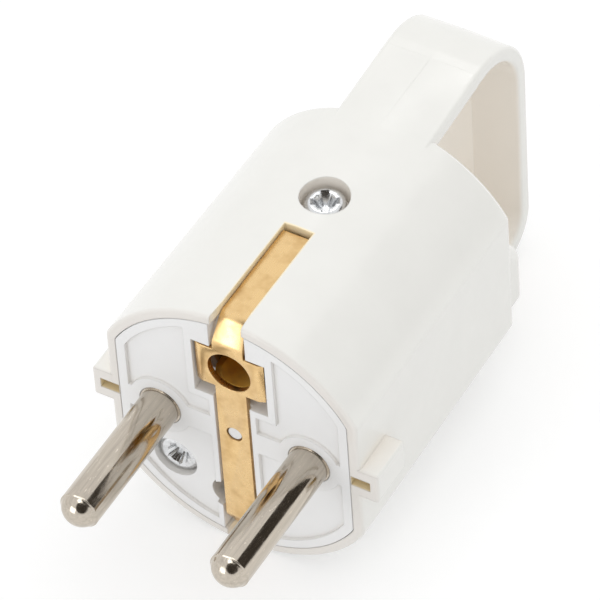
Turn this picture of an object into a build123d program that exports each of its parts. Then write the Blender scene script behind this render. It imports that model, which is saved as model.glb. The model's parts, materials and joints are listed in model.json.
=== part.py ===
from build123d import *
import math
import os

# Earthed mains plug with a pull loop. A hollow moulded housing is closed in front by a
# contact carrier, which holds two round pins, an earth strip and an earth socket.
# Millimetres. +Z is up and +Y runs back from the engagement face. The origin is the
# middle of that face, halfway between the pins.

# Pins
pin_d = 4.8
pin_pitch = 19.0
pin_length = 19.0
shank_d = 5.2
collar_d = 8.0
collar_t = 1.6
terminal_d = 6.8
terminal_length = 8.4
terminal_flat = 2.8
wire_bore_d = 3.2
wire_bore_depth = 6.6
bore_clearance = 0.05

# Housing body
body_r = 18.1
body_half_width = 15.9
body_length = 36.0
body_draft = 0.85
body_corner_r = 1.2
wall = 1.2
rear_wall = 2.0
front_edge_r = 0.45
rear_edge_r = 0.9

# Side lugs
lug_reach = 2.3
lug_half_height = 2.0
lug_length = 6.1
lug_slot_half_height = 0.7
lug_slot_depth = 4.0
lug_skin = 1.0
lug_edge_r = 0.35

# Pull loop: a band, flush with the body's top at its root, its inner face drafted to both sides
loop_half_width = 6.0
loop_thickness = 2.5
loop_reach = 21.1
loop_lean = 0.4
loop_root_drop = 0.8
loop_root_length = 10.0
loop_crown = 0.1
loop_foot_drop = 1.2
loop_sag = 0.2
loop_top_r = 9.4
loop_bottom_r = 5.4
loop_draft = 5.0
loop_edge_r = 0.5

# Outlet block behind the lower half of the body, with the cord inlet in its underside
outlet_half_width = 12.0
outlet_depth = 8.6
outlet_top = 2.6
outlet_slope = 46.3
outlet_wall = 1.4
outlet_edge_r = 2.0
inlet_d = 9.0
inlet_collar_d = 12.4
inlet_length = 4.0
inlet_inset = 6.4
rest_inset = 0.1

# Contact carrier
carrier_gap = 0.08
carrier_corner_r = 0.9
flange_t = 3.0
core_depth = 9.0
border = 1.15
panel_depth = 0.45
panel_gap = 1.6
panel_shelf = 4.2
panel_inner_top = 5.6
panel_inner_low = 3.0
boss_ring = 1.5
spine_half_width = 4.8
spine_inset = 1.15
web_half_height = 1.4
pin_boss_wall = 0.6
pip_d = 1.7
pip_sink = 0.2
rear_pocket_d = 4.1
rear_pocket_x = 1.75
rear_pocket_z = -11.0
rear_pocket_depth = 6.0

# Earth strip and socket
strip_t = 0.8
strip_half_width = 1.95
strip_run_half_width = 1.65
strip_inset = 0.75
strip_bend_drop = 2.95
strip_bend_y = 2.15
strip_run_end = 15.6
strip_bend_r = 0.9
channel_gap = 0.35
slot_gap = 0.15
slot_end_gap = 0.6
slot_mouth_gap = 0.05
slot_mouth_depth = 2.6
earth_z = 10.0
earth_hole_d = 5.4
strip_pip_hole_d = 2.0
wing_half_width = 3.6
wing_half_height = 2.9
lip_reach = 0.75
lip_depth = 0.3
wing_pocket_gap = 0.3
wing_pocket_drop = 1.9
wing_pocket_depth = 2.3
socket_bore_d = 5.4
socket_wall = 0.6
socket_length = 13.7
socket_split = 3.4
socket_flare = 0.6
socket_flare_length = 1.1
socket_gap = 0.1
tail_half_width = 2.6
tail_t = 0.8
tail_bottom = -0.6
earth_screw_z = 2.6
washer_side = 6.0
washer_t = 0.9

# Carrier back
plate_t = 3.0
plate_gap = 0.57
cheek_inner = 3.5
cheek_outer = 4.9
tower_ahead = 3.2
tower_behind = 3.5
cheek_drop = 0.9
nut_roof = 1.9
tongue_depth = 3.2
tongue_gap = 0.3
floor_margin = 1.9
floor_t = 2.4
floor_rise = 6.7
floor_back = 31.0

# Screws and nuts
thread_d = 3.0
thread_chamfer = 0.4
thread_clearance = 0.1
nut_af = 5.5
nut_t = 2.4
nut_gap = 0.1
nut_seat_t = 1.4
housing_screw_y = 21.9
housing_screw_length = 8.6
housing_recess_depth = 3.15
housing_seat_t = 2.95
housing_head_d = 4.7
housing_recess_d = 5.8
housing_boss_d = 8.8
carrier_screw_x = 8.4
carrier_screw_z = -8.4
carrier_screw_seat = 2.8
carrier_screw_length = 12.2
rear_screw_length = 6.2
rear_nut_y = 5.0
rear_hole_end = 3.6
carrier_head_d = 5.0
carrier_well_d = 5.5
carrier_boss_d = 7.6
head_h = 1.9
head_edge = 0.5
head_edge_drop = 0.3
recess_width = 0.85
recess_reach = 1.55
recess_depth = 1.1
terminal_screw_inset = 3.6
terminal_screw_length = 3.0
small_head_d = 5.0
earth_screw_length = 4.6

# Cord clamp
clamp_inset = 3.4
clamp_width = 5.0
clamp_t = 1.7
clamp_cord_r = 3.5
clamp_head_gap = 0.2
clamp_ear_margin = 1.7
clamp_screw_length = 3.9

# How far a cutting shape runs past the face that it cuts
cut_over = 1.0

# Places that follow from the sizes above
half_pitch = pin_pitch / 2
pin_end = core_depth + collar_t + terminal_length
terminal_screw_y = pin_end - terminal_screw_inset
plate_back = core_depth + plate_t
carrier_nut_y = core_depth + nut_seat_t
outlet_back = body_length + outlet_depth
inlet_y = outlet_back - inlet_inset
rest_z = rest_inset - body_r
loop_top = body_r
loop_back = body_length + loop_reach
loop_bottom = -body_r - loop_sag
root_y = body_length - rear_wall / 2
loop_start = body_length + loop_root_length
carrier_r = body_r - wall - carrier_gap
carrier_half_width = body_half_width - wall - carrier_gap
spine_top = carrier_r - spine_inset
strip_run_z = body_r - strip_inset - strip_t / 2
strip_bend_z = strip_run_z - strip_bend_drop
socket_r = socket_bore_d / 2 + socket_wall
socket_back = strip_t + socket_length
housing_screw_seat = body_r - housing_recess_depth
tower_top = housing_screw_seat - housing_seat_t
tower_bottom = earth_z - socket_r - cheek_drop
tower_front = housing_screw_y - tower_ahead
tower_back = housing_screw_y + tower_behind
housing_nut_z = tower_top - nut_roof
floor_top = floor_rise + wall - body_r
clamp_y = floor_back - clamp_inset
clamp_screw_x = clamp_cord_r + clamp_t + small_head_d / 2 + clamp_head_gap
clamp_ear = clamp_screw_x + clamp_ear_margin
floor_half_width = clamp_screw_x + floor_margin


def depth_plane(y):
    """A plane across the plug at depth y, facing back, with its own x axis to the left."""
    return Plane((0, y, 0), x_dir=(-1, 0, 0), z_dir=(0, 1, 0))


def block(x0, x1, y0, y1, z0, z1):
    """A box between two corners."""
    return Pos((x0 + x1) / 2, (y0 + y1) / 2, (z0 + z1) / 2) * Box(x1 - x0, y1 - y0, z1 - z0)


def rod_y(x, z, radius, y0, y1):
    """A round bar along the depth."""
    return Pos(x, (y0 + y1) / 2, z) * Rot(90, 0, 0) * Cylinder(radius, y1 - y0)


def rod_z(x, y, radius, z0, z1):
    """A round upright bar."""
    return Pos(x, y, (z0 + z1) / 2) * Cylinder(radius, z1 - z0)


def flatted_disc(radius, half_width, corner_r):
    """A disc cut by two upright side flats, with its four corners eased."""
    disc = Circle(radius) & Rectangle(2 * half_width, 2 * radius)
    return fillet(disc.vertices(), corner_r)


def drafted(radius, half_width, corner_r, length):
    """A flatted disc drawn back from the face with the body's draft."""
    outline = depth_plane(0) * flatted_disc(radius, half_width, corner_r)
    return extrude(outline, length, taper=body_draft)


def side_profile(*points):
    """A closed face in the middle plane from (depth, height) points."""
    return Plane.YZ * make_face(Polyline(*points, close=True))


def edged_body():
    """The outer form of the round body, its front and rear edges eased."""
    body = drafted(body_r, body_half_width, body_corner_r, body_length)
    body = fillet(body.faces().sort_by(Axis.Y)[-1].edges(), rear_edge_r)
    return fillet(body.faces().sort_by(Axis.Y)[0].edges(), front_edge_r)


def loop_top_at(y):
    """The height of the band's top at its middle, ahead of the upper bend."""
    return loop_top - loop_root_drop * (loop_back - y) / (loop_back - root_y)


def loop_section(crown, inset):
    """The band's side section, lowered by crown on its outer face and by inset on its inner face."""
    outer_r = loop_top_r - crown
    inner_r = loop_top_r - loop_thickness + inset
    thickness = loop_thickness - crown - inset
    start_z = loop_top_at(loop_start) - crown
    top = loop_top - crown
    back = loop_back - crown
    bottom = loop_bottom + crown
    foot_y = outlet_back - outlet_wall
    corners = [
        (loop_start, start_z),
        (back, top),
        (back - loop_lean, bottom),
        (foot_y, bottom + loop_foot_drop),
        (foot_y, bottom + thickness + loop_foot_drop),
        (back - loop_lean - thickness, bottom + thickness),
        (back - thickness, top - thickness),
        (loop_start, start_z - thickness),
    ]
    radii = {
        1: outer_r,
        2: loop_bottom_r - crown,
        5: loop_bottom_r - loop_thickness + inset,
        6: inner_r,
    }
    face = make_face(Polyline(*corners, close=True))
    for index, radius in radii.items():
        corner = face.vertices().sort_by_distance((*corners[index], 0))[0]
        face = fillet(corner, radius)
    return face


def root_section(y, middle, side, inset):
    """The band's cross section at depth y, from its top's height in the middle and at the sides."""
    half = loop_half_width
    top = ThreePointArc((half, side), (0, middle), (-half, side))
    low = side - loop_thickness + inset
    under = Polyline((-half, side), (-half, low), (0, middle - loop_thickness), (half, low), (half, side))
    return depth_plane(y) * make_face(top + under)


def round_sides(band):
    """A stretch of the band with its long side edges rounded."""
    edges = band.faces().filter_by(Plane.YZ).edges().filter_by(Axis.Z, reverse=True)
    return fillet(edges, loop_edge_r)


def pull_loop():
    """The band from the body's top, round to the foot of the outlet block."""
    inset = loop_half_width * math.tan(math.radians(loop_draft))
    middle = Plane.YZ * loop_section(0, 0)
    side = Plane.YZ.offset(loop_half_width) * loop_section(loop_crown, inset)
    half = loft([middle, side], ruled=True)
    flush_y = body_length - rear_wall
    flush_r = body_r - flush_y * math.tan(math.radians(body_draft))
    flush_side = math.sqrt(flush_r**2 - loop_half_width**2)
    start_z = loop_top_at(loop_start)
    root = loft([
        root_section(flush_y, flush_r, flush_side, inset),
        root_section(loop_start, start_z, start_z - loop_crown, inset),
    ])
    return round_sides(root) + round_sides(half + mirror(half, Plane.YZ))


def outlet_block():
    """The hood behind the lower half of the body, flush with the body's underside."""
    drop = outlet_depth * math.tan(math.radians(outlet_slope))
    face = side_profile(
        (root_y, -2 * body_r),
        (outlet_back, -2 * body_r),
        (outlet_back, outlet_top - drop),
        (body_length, outlet_top),
        (root_y, outlet_top),
    )
    hood = extrude(face, outlet_half_width, both=True)
    hood &= drafted(body_r, body_half_width, body_corner_r, outlet_back + outlet_wall)
    slope = Axis((0, 0, 0), (0, outlet_depth, -drop))
    edges = hood.faces().sort_by(Axis.Y)[-1].edges() + hood.edges().filter_by(slope)
    return fillet(edges, outlet_edge_r)


def outlet_cavity():
    """The hollow of the outlet block, open into the body."""
    slope = math.tan(math.radians(outlet_slope))
    roof = outlet_wall / math.cos(math.radians(outlet_slope))
    back = outlet_back - outlet_wall
    front = body_length - rear_wall - outlet_wall
    face = side_profile(
        (front, -2 * body_r),
        (back, -2 * body_r),
        (back, outlet_top - roof - (back - body_length) * slope),
        (body_length, outlet_top - roof),
        (front, outlet_top - roof),
    )
    hollow = extrude(face, outlet_half_width - outlet_wall, both=True)
    inner = drafted(body_r - wall, body_half_width - wall, body_corner_r, outlet_back)
    return hollow & inner


def side_lugs():
    """A pair of short guide lugs on the flats."""
    inner = body_half_width - wall
    outer = body_half_width + lug_reach
    lug = block(inner, outer, 0, lug_length, -lug_half_height, lug_half_height)
    lug = fillet(lug.faces().sort_by(Axis.X)[-1].edges(), lug_edge_r)
    return lug + mirror(lug, Plane.YZ)


def lug_slots():
    """The narrow slots in the fronts of the lugs."""
    inner = body_half_width - wall + carrier_gap
    outer = body_half_width + lug_reach - lug_skin
    half = lug_slot_half_height
    slot = block(inner, outer, -cut_over, lug_slot_depth, -half, half)
    return slot + mirror(slot, Plane.YZ)


def strip_slots():
    """The slots in the top and bottom of the rim for the strip's runs, flared at the mouth."""
    half = strip_run_half_width + slot_gap
    mouth = strip_half_width + slot_mouth_gap
    back = strip_run_end + slot_end_gap
    inner = carrier_r - wall
    outline = make_face(Polyline(
        (-half, back),
        (-half, slot_mouth_depth),
        (-mouth, 0),
        (-mouth, -cut_over),
        (mouth, -cut_over),
        (mouth, 0),
        (half, slot_mouth_depth),
        (half, back),
        close=True,
    ))
    slot = extrude(Pos(0, 0, inner) * outline, body_r - inner, dir=(0, 0, 1))
    return slot + mirror(slot, Plane.XY)


def make_housing():
    boss_r = housing_boss_d / 2
    hole_r = thread_d / 2 + thread_clearance
    housing = edged_body() + outlet_block() + pull_loop() + side_lugs()
    housing -= drafted(body_r - wall, body_half_width - wall, body_corner_r, body_length - rear_wall)
    housing -= outlet_cavity()
    housing += rod_z(0, inlet_y, inlet_collar_d / 2, rest_z, rest_z + inlet_length)
    housing -= rod_z(0, inlet_y, inlet_d / 2, rest_z, rest_z + inlet_length)
    housing += rod_z(0, housing_screw_y, boss_r, tower_top, body_r - wall)
    housing -= rod_z(0, housing_screw_y, housing_recess_d / 2, housing_screw_seat, 2 * body_r)
    housing -= rod_z(0, housing_screw_y, hole_r, tower_top, housing_screw_seat)
    return housing - strip_slots() - lug_slots()


def strip_path():
    """The middle line of the strip: top run, bend, face, bend and bottom run."""
    upper = [(strip_run_end, strip_run_z), (strip_bend_y, strip_run_z), (strip_t / 2, strip_bend_z)]
    lower = [(y, -z) for y, z in reversed(upper)]
    return upper + lower


def strip_section():
    """The strip's side section, bent from flat stock."""
    line = FilletPolyline(*strip_path(), radius=strip_bend_r)
    return Plane.YZ * trace(line, strip_t)


def strip_channel():
    """All that lies on or outside the strip's inner surface, as wide as its channel."""
    far = 2 * body_r
    outside = [(strip_run_end, -far), (-far, -far), (-far, far), (strip_run_end, far)]
    room = make_face(FilletPolyline(*strip_path(), radius=strip_bend_r) + Polyline(
        strip_path()[-1], *outside, strip_path()[0]))
    half = strip_half_width + channel_gap
    return extrude(Plane.YZ * room, half, both=True) + extrude(strip_section(), half, both=True)


def make_earth_strip():
    strip = extrude(strip_section(), strip_half_width, both=True)
    run_side = block(strip_run_half_width, body_r, strip_t, body_length, -body_r, body_r)
    strip -= run_side + mirror(run_side, Plane.YZ)
    low = earth_z - wing_half_height
    high = earth_z + wing_half_height
    strip += block(-wing_half_width, wing_half_width, 0, strip_t, low, high)
    lip_length = math.hypot(lip_reach, lip_depth)
    tip_x = wing_half_width + lip_reach - strip_t * lip_depth / lip_length
    tip_y = lip_depth + strip_t * lip_reach / lip_length
    lip = make_face(Polyline(
        (wing_half_width - strip_t, 0),
        (wing_half_width, 0),
        (wing_half_width + lip_reach, lip_depth),
        (tip_x, tip_y),
        (tip_x - (tip_y - strip_t) * lip_reach / lip_depth, strip_t),
        (wing_half_width - strip_t, strip_t),
        close=True,
    ))
    lip = extrude(Plane((0, 0, low)) * lip, high - low)
    strip += lip + mirror(lip, Plane.YZ)
    strip -= rod_y(0, earth_z, earth_hole_d / 2, -cut_over, strip_t + cut_over)
    return strip - rod_y(0, 0, strip_pip_hole_d / 2, -cut_over, strip_t + cut_over)


def make_earth_socket():
    """A rolled sleeve behind the earth hole, open at one side, with a tail for the terminal."""
    back = socket_back
    half_split = socket_split / 2
    mouth = half_split + socket_flare
    flare_end = strip_t + socket_flare_length
    opening = side_profile(
        (0, earth_z - mouth),
        (strip_t, earth_z - mouth),
        (flare_end, earth_z - half_split),
        (back - tail_t, earth_z - half_split),
        (back - tail_t, earth_z + half_split),
        (flare_end, earth_z + half_split),
        (strip_t, earth_z + mouth),
        (0, earth_z + mouth),
    )
    socket = rod_y(0, earth_z, socket_r, strip_t, back)
    socket += block(-tail_half_width, tail_half_width, back - tail_t, back, tail_bottom, earth_z)
    socket -= rod_y(0, earth_z, socket_bore_d / 2, 0, back + cut_over)
    socket -= extrude(opening, 2 * socket_r, dir=(-1, 0, 0))
    hole_r = thread_d / 2 + bore_clearance
    return socket - rod_y(0, earth_screw_z, hole_r, back - tail_t - cut_over, back + cut_over)


def face_panels():
    """The shallow sunk panels of the engagement face."""
    inside = flatted_disc(carrier_r - border, carrier_half_width - border, carrier_corner_r)
    tall = 2 * carrier_r
    bosses = Sketch()
    for side in (-1, 1):
        bosses += Pos(side * half_pitch, 0) * Circle(pin_d / 2 + boss_ring)
    upper = inside & Pos(0, panel_gap + tall / 2) * Rectangle(tall, tall)
    upper -= Rectangle(2 * panel_inner_low, 2 * tall)
    upper -= Pos(0, panel_shelf + tall / 2) * Rectangle(2 * panel_inner_top, tall)
    lower = inside & Pos(0, -panel_gap - tall / 2) * Rectangle(tall, tall)
    lower -= Rectangle(2 * panel_inner_low, 2 * tall)
    return extrude(depth_plane(0) * (upper + lower - bosses), panel_depth)


def rear_nut_slot():
    """The slot in the right screw boss, open to the side, that holds the nut of the screw from behind."""
    inner = carrier_screw_x - nut_af / math.sqrt(3) - nut_gap
    half = nut_af / 2 + nut_gap
    back = rear_nut_y + nut_t + nut_gap
    return block(inner, carrier_screw_x + carrier_boss_d, rear_nut_y, back,
                 carrier_screw_z - half, carrier_screw_z + half)


def make_contact_carrier():
    carrier = drafted(carrier_r, carrier_half_width, carrier_corner_r, flange_t)
    carrier += block(-spine_half_width, spine_half_width, flange_t / 2, core_depth, -spine_top, spine_top)
    carrier += block(-half_pitch, half_pitch, flange_t / 2, core_depth, -web_half_height, web_half_height)
    tongue_half = strip_run_half_width
    for low in (strip_run_z - tongue_depth, -strip_run_z):
        high = low + tongue_depth
        carrier += block(-tongue_half, tongue_half, flange_t, strip_run_end, low, high)
    for side in (-1, 1):
        screw_x = side * carrier_screw_x
        carrier += rod_y(side * half_pitch, 0, collar_d / 2 + pin_boss_wall, flange_t / 2, core_depth)
        carrier += rod_y(screw_x, carrier_screw_z, carrier_boss_d / 2, flange_t / 2, core_depth)
    carrier -= strip_channel()
    carrier -= face_panels()
    pocket_x = wing_half_width + lip_reach + wing_pocket_gap
    pocket_low = earth_z - wing_half_height - wing_pocket_drop
    pocket_high = earth_z + wing_half_height + wing_pocket_gap
    carrier -= block(-pocket_x, pocket_x, -cut_over, wing_pocket_depth, pocket_low, pocket_high)
    carrier -= rod_y(0, earth_z, socket_r + socket_gap, 0, socket_back + socket_gap)
    rear_pocket = Pos(0, rear_pocket_z) * SlotCenterToCenter(2 * rear_pocket_x, rear_pocket_d)
    carrier -= extrude(depth_plane(0) * rear_pocket, rear_pocket_depth)
    pin_hole_r = shank_d / 2 + bore_clearance
    screw_hole_r = thread_d / 2 + thread_clearance
    for side in (-1, 1):
        carrier -= rod_y(side * half_pitch, 0, pin_hole_r, -cut_over, core_depth + cut_over)
    carrier -= rod_y(-carrier_screw_x, carrier_screw_z, carrier_well_d / 2, -cut_over, carrier_screw_seat)
    carrier -= rod_y(-carrier_screw_x, carrier_screw_z, screw_hole_r, 0, core_depth + cut_over)
    carrier -= rod_y(carrier_screw_x, carrier_screw_z, screw_hole_r, rear_hole_end, core_depth + cut_over)
    carrier -= rear_nut_slot()
    window_half = socket_split / 2
    carrier -= block(-spine_half_width - cut_over, 0, flange_t, core_depth - wall,
                     earth_z - window_half, earth_z + window_half)
    return carrier + rod_y(0, 0, pip_d / 2, pip_sink, flange_t / 2)


def make_carrier_back():
    """The rear half of the insert: pin plate, nut tower and cord floor."""
    front = core_depth
    ahead = front - cut_over
    behind = plate_back + cut_over
    gap = carrier_gap + plate_gap
    hole_r = thread_d / 2 + thread_clearance
    outline = flatted_disc(body_r - wall - gap, body_half_width - wall - gap, carrier_corner_r)
    back = extrude(depth_plane(front) * outline, plate_t, taper=body_draft)
    back += block(-cheek_outer, cheek_outer, front, tower_back, tower_bottom, tower_top)
    socket_room = earth_z + socket_r + tongue_gap
    back -= block(-cheek_inner, cheek_inner, ahead, tower_front, tower_bottom, socket_room)
    back += block(-floor_half_width, floor_half_width, front, floor_back, floor_top - floor_t, floor_top)
    tongue_half = strip_run_half_width + tongue_gap
    tongue_low = strip_run_z - tongue_depth - tongue_gap
    for low, high in ((tongue_low, body_r), (-body_r, -tongue_low)):
        back -= block(-tongue_half, tongue_half, ahead, behind, low, high)
    clamp_hole_r = thread_d / 2 + bore_clearance
    clamp_low = floor_top - floor_t - cut_over
    nut_outline = RegularPolygon(nut_af / 2 + nut_gap, 6, major_radius=False)
    nut_groove = extrude(depth_plane(carrier_nut_y) * nut_outline, 2 * nut_t + nut_gap)
    for side in (-1, 1):
        pin_x = side * half_pitch
        back -= rod_y(pin_x, 0, collar_d / 2 + bore_clearance, ahead, front + collar_t)
        back -= rod_y(pin_x, 0, terminal_d / 2 + bore_clearance, front, behind)
        back -= rod_y(side * carrier_screw_x, carrier_screw_z, hole_r, ahead, behind)
        back -= rod_z(side * clamp_screw_x, clamp_y, clamp_hole_r, clamp_low, floor_top + cut_over)
    back -= Pos(-carrier_screw_x, 0, carrier_screw_z) * nut_groove
    head_room = carrier_nut_y + rear_screw_length + head_h
    back -= rod_y(carrier_screw_x, carrier_screw_z, carrier_head_d / 2 + nut_gap, carrier_nut_y, head_room)
    back -= rod_y(0, earth_screw_z, hole_r, ahead, behind)
    back -= rod_z(0, housing_screw_y, hole_r, tower_bottom - cut_over, tower_top + cut_over)
    nut_half = nut_af / 2 + nut_gap
    nut_low = housing_nut_z - nut_t - nut_gap
    nut_front = housing_screw_y - nut_af / math.sqrt(3) - nut_gap
    return back - block(-nut_half, nut_half, nut_front, tower_back + cut_over, nut_low, housing_nut_z)


def make_pin(side):
    """A turned pin with a round tip, a seated shank, a collar and a wire terminal at the back."""
    radius = pin_d / 2
    collar_back = core_depth + collar_t
    tip = CenterArc((0, radius - pin_length), radius, -90, 90)
    side_line = Polyline(
        (radius, radius - pin_length),
        (radius, 0),
        (shank_d / 2, 0),
        (shank_d / 2, core_depth),
        (collar_d / 2, core_depth),
        (collar_d / 2, collar_back),
        (terminal_d / 2, collar_back),
        (terminal_d / 2, pin_end),
        (0, pin_end),
        (0, -pin_length),
    )
    centre = side * half_pitch
    past = pin_end + cut_over
    pin = Pos(centre, 0, 0) * revolve(make_face(tip + side_line), Axis.Y)
    pin -= rod_y(centre, 0, wire_bore_d / 2, pin_end - wire_bore_depth, past)
    pin -= block(centre - terminal_d, centre + terminal_d, plate_back, past, terminal_flat, terminal_d)
    return pin - rod_z(centre, terminal_screw_y, thread_d / 2 + bore_clearance, 0, terminal_d)


def pan_screw(head_d, length):
    """A pan-head screw with a cross recess; the head's seat is at z = 0, the shank below."""
    head = rod_z(0, 0, head_d / 2, 0, head_h)
    rim = head.edges().sort_by(Axis.Z)[-1]
    head = chamfer(rim, head_edge_drop, head_edge, reference=head.faces().filter_by(GeomType.CYLINDER)[0])
    for turn in (0, 90):
        wing = Box(2 * recess_reach, recess_width, 2 * recess_depth)
        head -= Pos(0, 0, head_h) * Rot(0, 0, turn) * wing
    shank = rod_z(0, 0, thread_d / 2, -length, 0)
    return head + chamfer(shank.edges().sort_by(Axis.Z)[0], thread_chamfer)


def hex_nut():
    """A hexagon nut with its upper face at z = 0."""
    outline = RegularPolygon(nut_af / 2, 6, major_radius=False)
    return extrude(outline - Circle(thread_d / 2 + bore_clearance), -nut_t)


def make_cord_clamp_bar():
    """An arched saddle with an ear at each end."""
    outer = clamp_cord_r + clamp_t
    arch = Circle(outer) + Pos(0, clamp_t / 2) * Rectangle(2 * clamp_ear, clamp_t)
    arch -= Circle(clamp_cord_r)
    arch &= Pos(0, outer / 2) * Rectangle(2 * clamp_ear, outer)
    front = clamp_y - clamp_width / 2
    bar = extrude(depth_plane(front) * Pos(0, floor_top) * arch, clamp_width)
    low = floor_top - cut_over
    high = floor_top + clamp_t + cut_over
    for side in (-1, 1):
        bar -= rod_z(side * clamp_screw_x, clamp_y, thread_d / 2 + thread_clearance, low, high)
    return bar


def make_earth_washer():
    """The square pressure washer of the earth terminal."""
    front = socket_back
    back = front + washer_t
    half = washer_side / 2
    washer = block(-half, half, front, back, earth_screw_z - half, earth_screw_z + half)
    hole_r = thread_d / 2 + thread_clearance
    return washer - rod_y(0, earth_screw_z, hole_r, front - cut_over, back + cut_over)


def fasteners():
    """Every screw and nut in its place."""
    heads_front = Rot(90, 0, 0)
    heads_back = Rot(-90, 0, 0)
    housing_spot = Pos(0, housing_screw_y, housing_screw_seat)
    housing_nut_spot = Pos(0, housing_screw_y, housing_nut_z) * Rot(0, 0, 30)
    earth_spot = Pos(0, socket_back + washer_t, earth_screw_z) * heads_back
    face_spot = Pos(-carrier_screw_x, carrier_screw_seat, carrier_screw_z) * heads_front
    face_nut_spot = Pos(-carrier_screw_x, carrier_nut_y, carrier_screw_z) * heads_front
    rear_spot = Pos(carrier_screw_x, carrier_nut_y, carrier_screw_z) * heads_back
    rear_nut_spot = Pos(carrier_screw_x, rear_nut_y, carrier_screw_z) * heads_front
    placed = {
        "housing_screw": housing_spot * pan_screw(housing_head_d, housing_screw_length),
        "housing_nut": housing_nut_spot * hex_nut(),
        "earth_terminal_screw": earth_spot * pan_screw(small_head_d, earth_screw_length),
        "carrier_screw_left": face_spot * pan_screw(carrier_head_d, carrier_screw_length),
        "carrier_nut_left": face_nut_spot * hex_nut(),
        "carrier_screw_right": rear_spot * pan_screw(carrier_head_d, rear_screw_length),
        "carrier_nut_right": rear_nut_spot * hex_nut(),
    }
    for name, side in (("left", -1), ("right", 1)):
        clamp_spot = Pos(side * clamp_screw_x, clamp_y, floor_top + clamp_t)
        placed["cord_clamp_screw_" + name] = clamp_spot * pan_screw(small_head_d, clamp_screw_length)
    for name, side in (("line", -1), ("neutral", 1)):
        spot = Pos(side * half_pitch, terminal_screw_y, terminal_flat)
        placed[name + "_terminal_screw"] = spot * pan_screw(small_head_d, terminal_screw_length)
    return placed


def all_parts():
    parts = {
        "housing": make_housing(),
        "contact_carrier": make_contact_carrier(),
        "carrier_back": make_carrier_back(),
        "line_pin": make_pin(-1),
        "neutral_pin": make_pin(1),
        "earth_strip": make_earth_strip(),
        "earth_socket": make_earth_socket(),
        "earth_washer": make_earth_washer(),
        "cord_clamp_bar": make_cord_clamp_bar(),
    }
    parts.update(fasteners())
    return parts


os.makedirs("parts", exist_ok=True)
for node, solid in all_parts().items():
    export_step(solid, os.path.join("parts", node + ".step"))
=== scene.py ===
import json
import math

import bmesh
import bpy
from mathutils import Matrix, Vector


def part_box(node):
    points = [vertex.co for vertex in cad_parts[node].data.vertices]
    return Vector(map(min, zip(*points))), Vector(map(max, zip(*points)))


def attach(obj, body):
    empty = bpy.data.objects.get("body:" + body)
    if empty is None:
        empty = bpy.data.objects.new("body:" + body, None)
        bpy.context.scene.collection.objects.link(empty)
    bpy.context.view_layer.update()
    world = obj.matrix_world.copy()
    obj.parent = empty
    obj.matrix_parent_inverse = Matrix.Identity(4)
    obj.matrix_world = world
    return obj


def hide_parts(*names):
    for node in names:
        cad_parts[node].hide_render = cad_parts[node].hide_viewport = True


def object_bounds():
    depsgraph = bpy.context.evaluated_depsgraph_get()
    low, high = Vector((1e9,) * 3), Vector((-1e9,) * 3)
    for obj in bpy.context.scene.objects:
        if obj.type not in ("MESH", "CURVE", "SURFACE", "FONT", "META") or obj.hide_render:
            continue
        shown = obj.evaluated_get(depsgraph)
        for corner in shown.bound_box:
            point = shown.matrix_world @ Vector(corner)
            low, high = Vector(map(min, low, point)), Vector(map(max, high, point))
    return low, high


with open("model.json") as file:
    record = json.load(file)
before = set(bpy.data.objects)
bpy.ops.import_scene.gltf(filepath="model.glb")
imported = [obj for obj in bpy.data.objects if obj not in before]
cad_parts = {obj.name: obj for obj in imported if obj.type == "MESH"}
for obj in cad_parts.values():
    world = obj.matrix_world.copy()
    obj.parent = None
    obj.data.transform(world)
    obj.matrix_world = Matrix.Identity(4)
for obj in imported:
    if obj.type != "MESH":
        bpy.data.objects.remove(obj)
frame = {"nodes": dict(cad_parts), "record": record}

bl_info = {
    "name": "Earthed Plug with Pull Loop",
    "version": (1, 0, 0),
    "blender": (4, 5, 0),
    "location": "View3D > Sidebar > Plug",
    "description": "Dresses the packed plug: brass earth strip, pins, screws, finishes and a white studio",
    "category": "Object",
}

BODY = "root"
CAD_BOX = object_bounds()
NODES = frame["nodes"]
PINS = ("line_pin", "neutral_pin")
WHITE = (1.0, 1.0, 1.0)

# Pieces are shaped in millimetres, and vertices closer than MERGE become one
METRE = 1000.0
MERGE = 1e-4

# Lengths in metres that the finishes share
RELIEF_DEPTH = 0.00002
TONE_BLEND = 0.0002
# How far the painted shade of hollows looks for walls that close a spot in
SHADE_REACH = 0.025
LINE_RISE = 0.008
LINE_FADE = 0.001
LOOP_BLEND = 0.0005

# How open a spot is where the painted shade of hollows is full and where it ends
SHADE_FULL = 0.35
SHADE_END = 0.85

# What turns a shape made along Z towards each way
TURNS = {
    "+Z": Matrix.Identity(4),
    "-Y": Matrix.Rotation(math.pi / 2, 4, "X"),
    "+Y": Matrix.Rotation(-math.pi / 2, 4, "X"),
}

# Each material's name, by the slot that it fills or, for the sleeve, the finish that it gives
MATERIAL_NAMES = {
    "shell_plastic": "Housing plastic",
    "insert_plastic": "Insert plastic",
    "pin_plating": "Pin plating",
    "earth_brass": "Earth brass",
    "sleeve_brass": "Sleeve brass",
    "screw_steel": "Screw zinc",
}


def box_mm(node):
    """A node's lowest and highest corners in millimetres."""
    low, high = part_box(node)
    return low * METRE, high * METRE


def sizes_mm(group):
    """A settings group's lengths in millimetres, by name."""
    return {name: getattr(group, name) * METRE for name in group.__annotations__}


# Shaping helpers

def mesh_object(bm, name):
    """Links a bmesh as an object and frees the bmesh."""
    mesh = bpy.data.meshes.new(name)
    bm.to_mesh(mesh)
    bm.free()
    thing = bpy.data.objects.new(name, mesh)
    bpy.context.scene.collection.objects.link(thing)
    return thing


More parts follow.
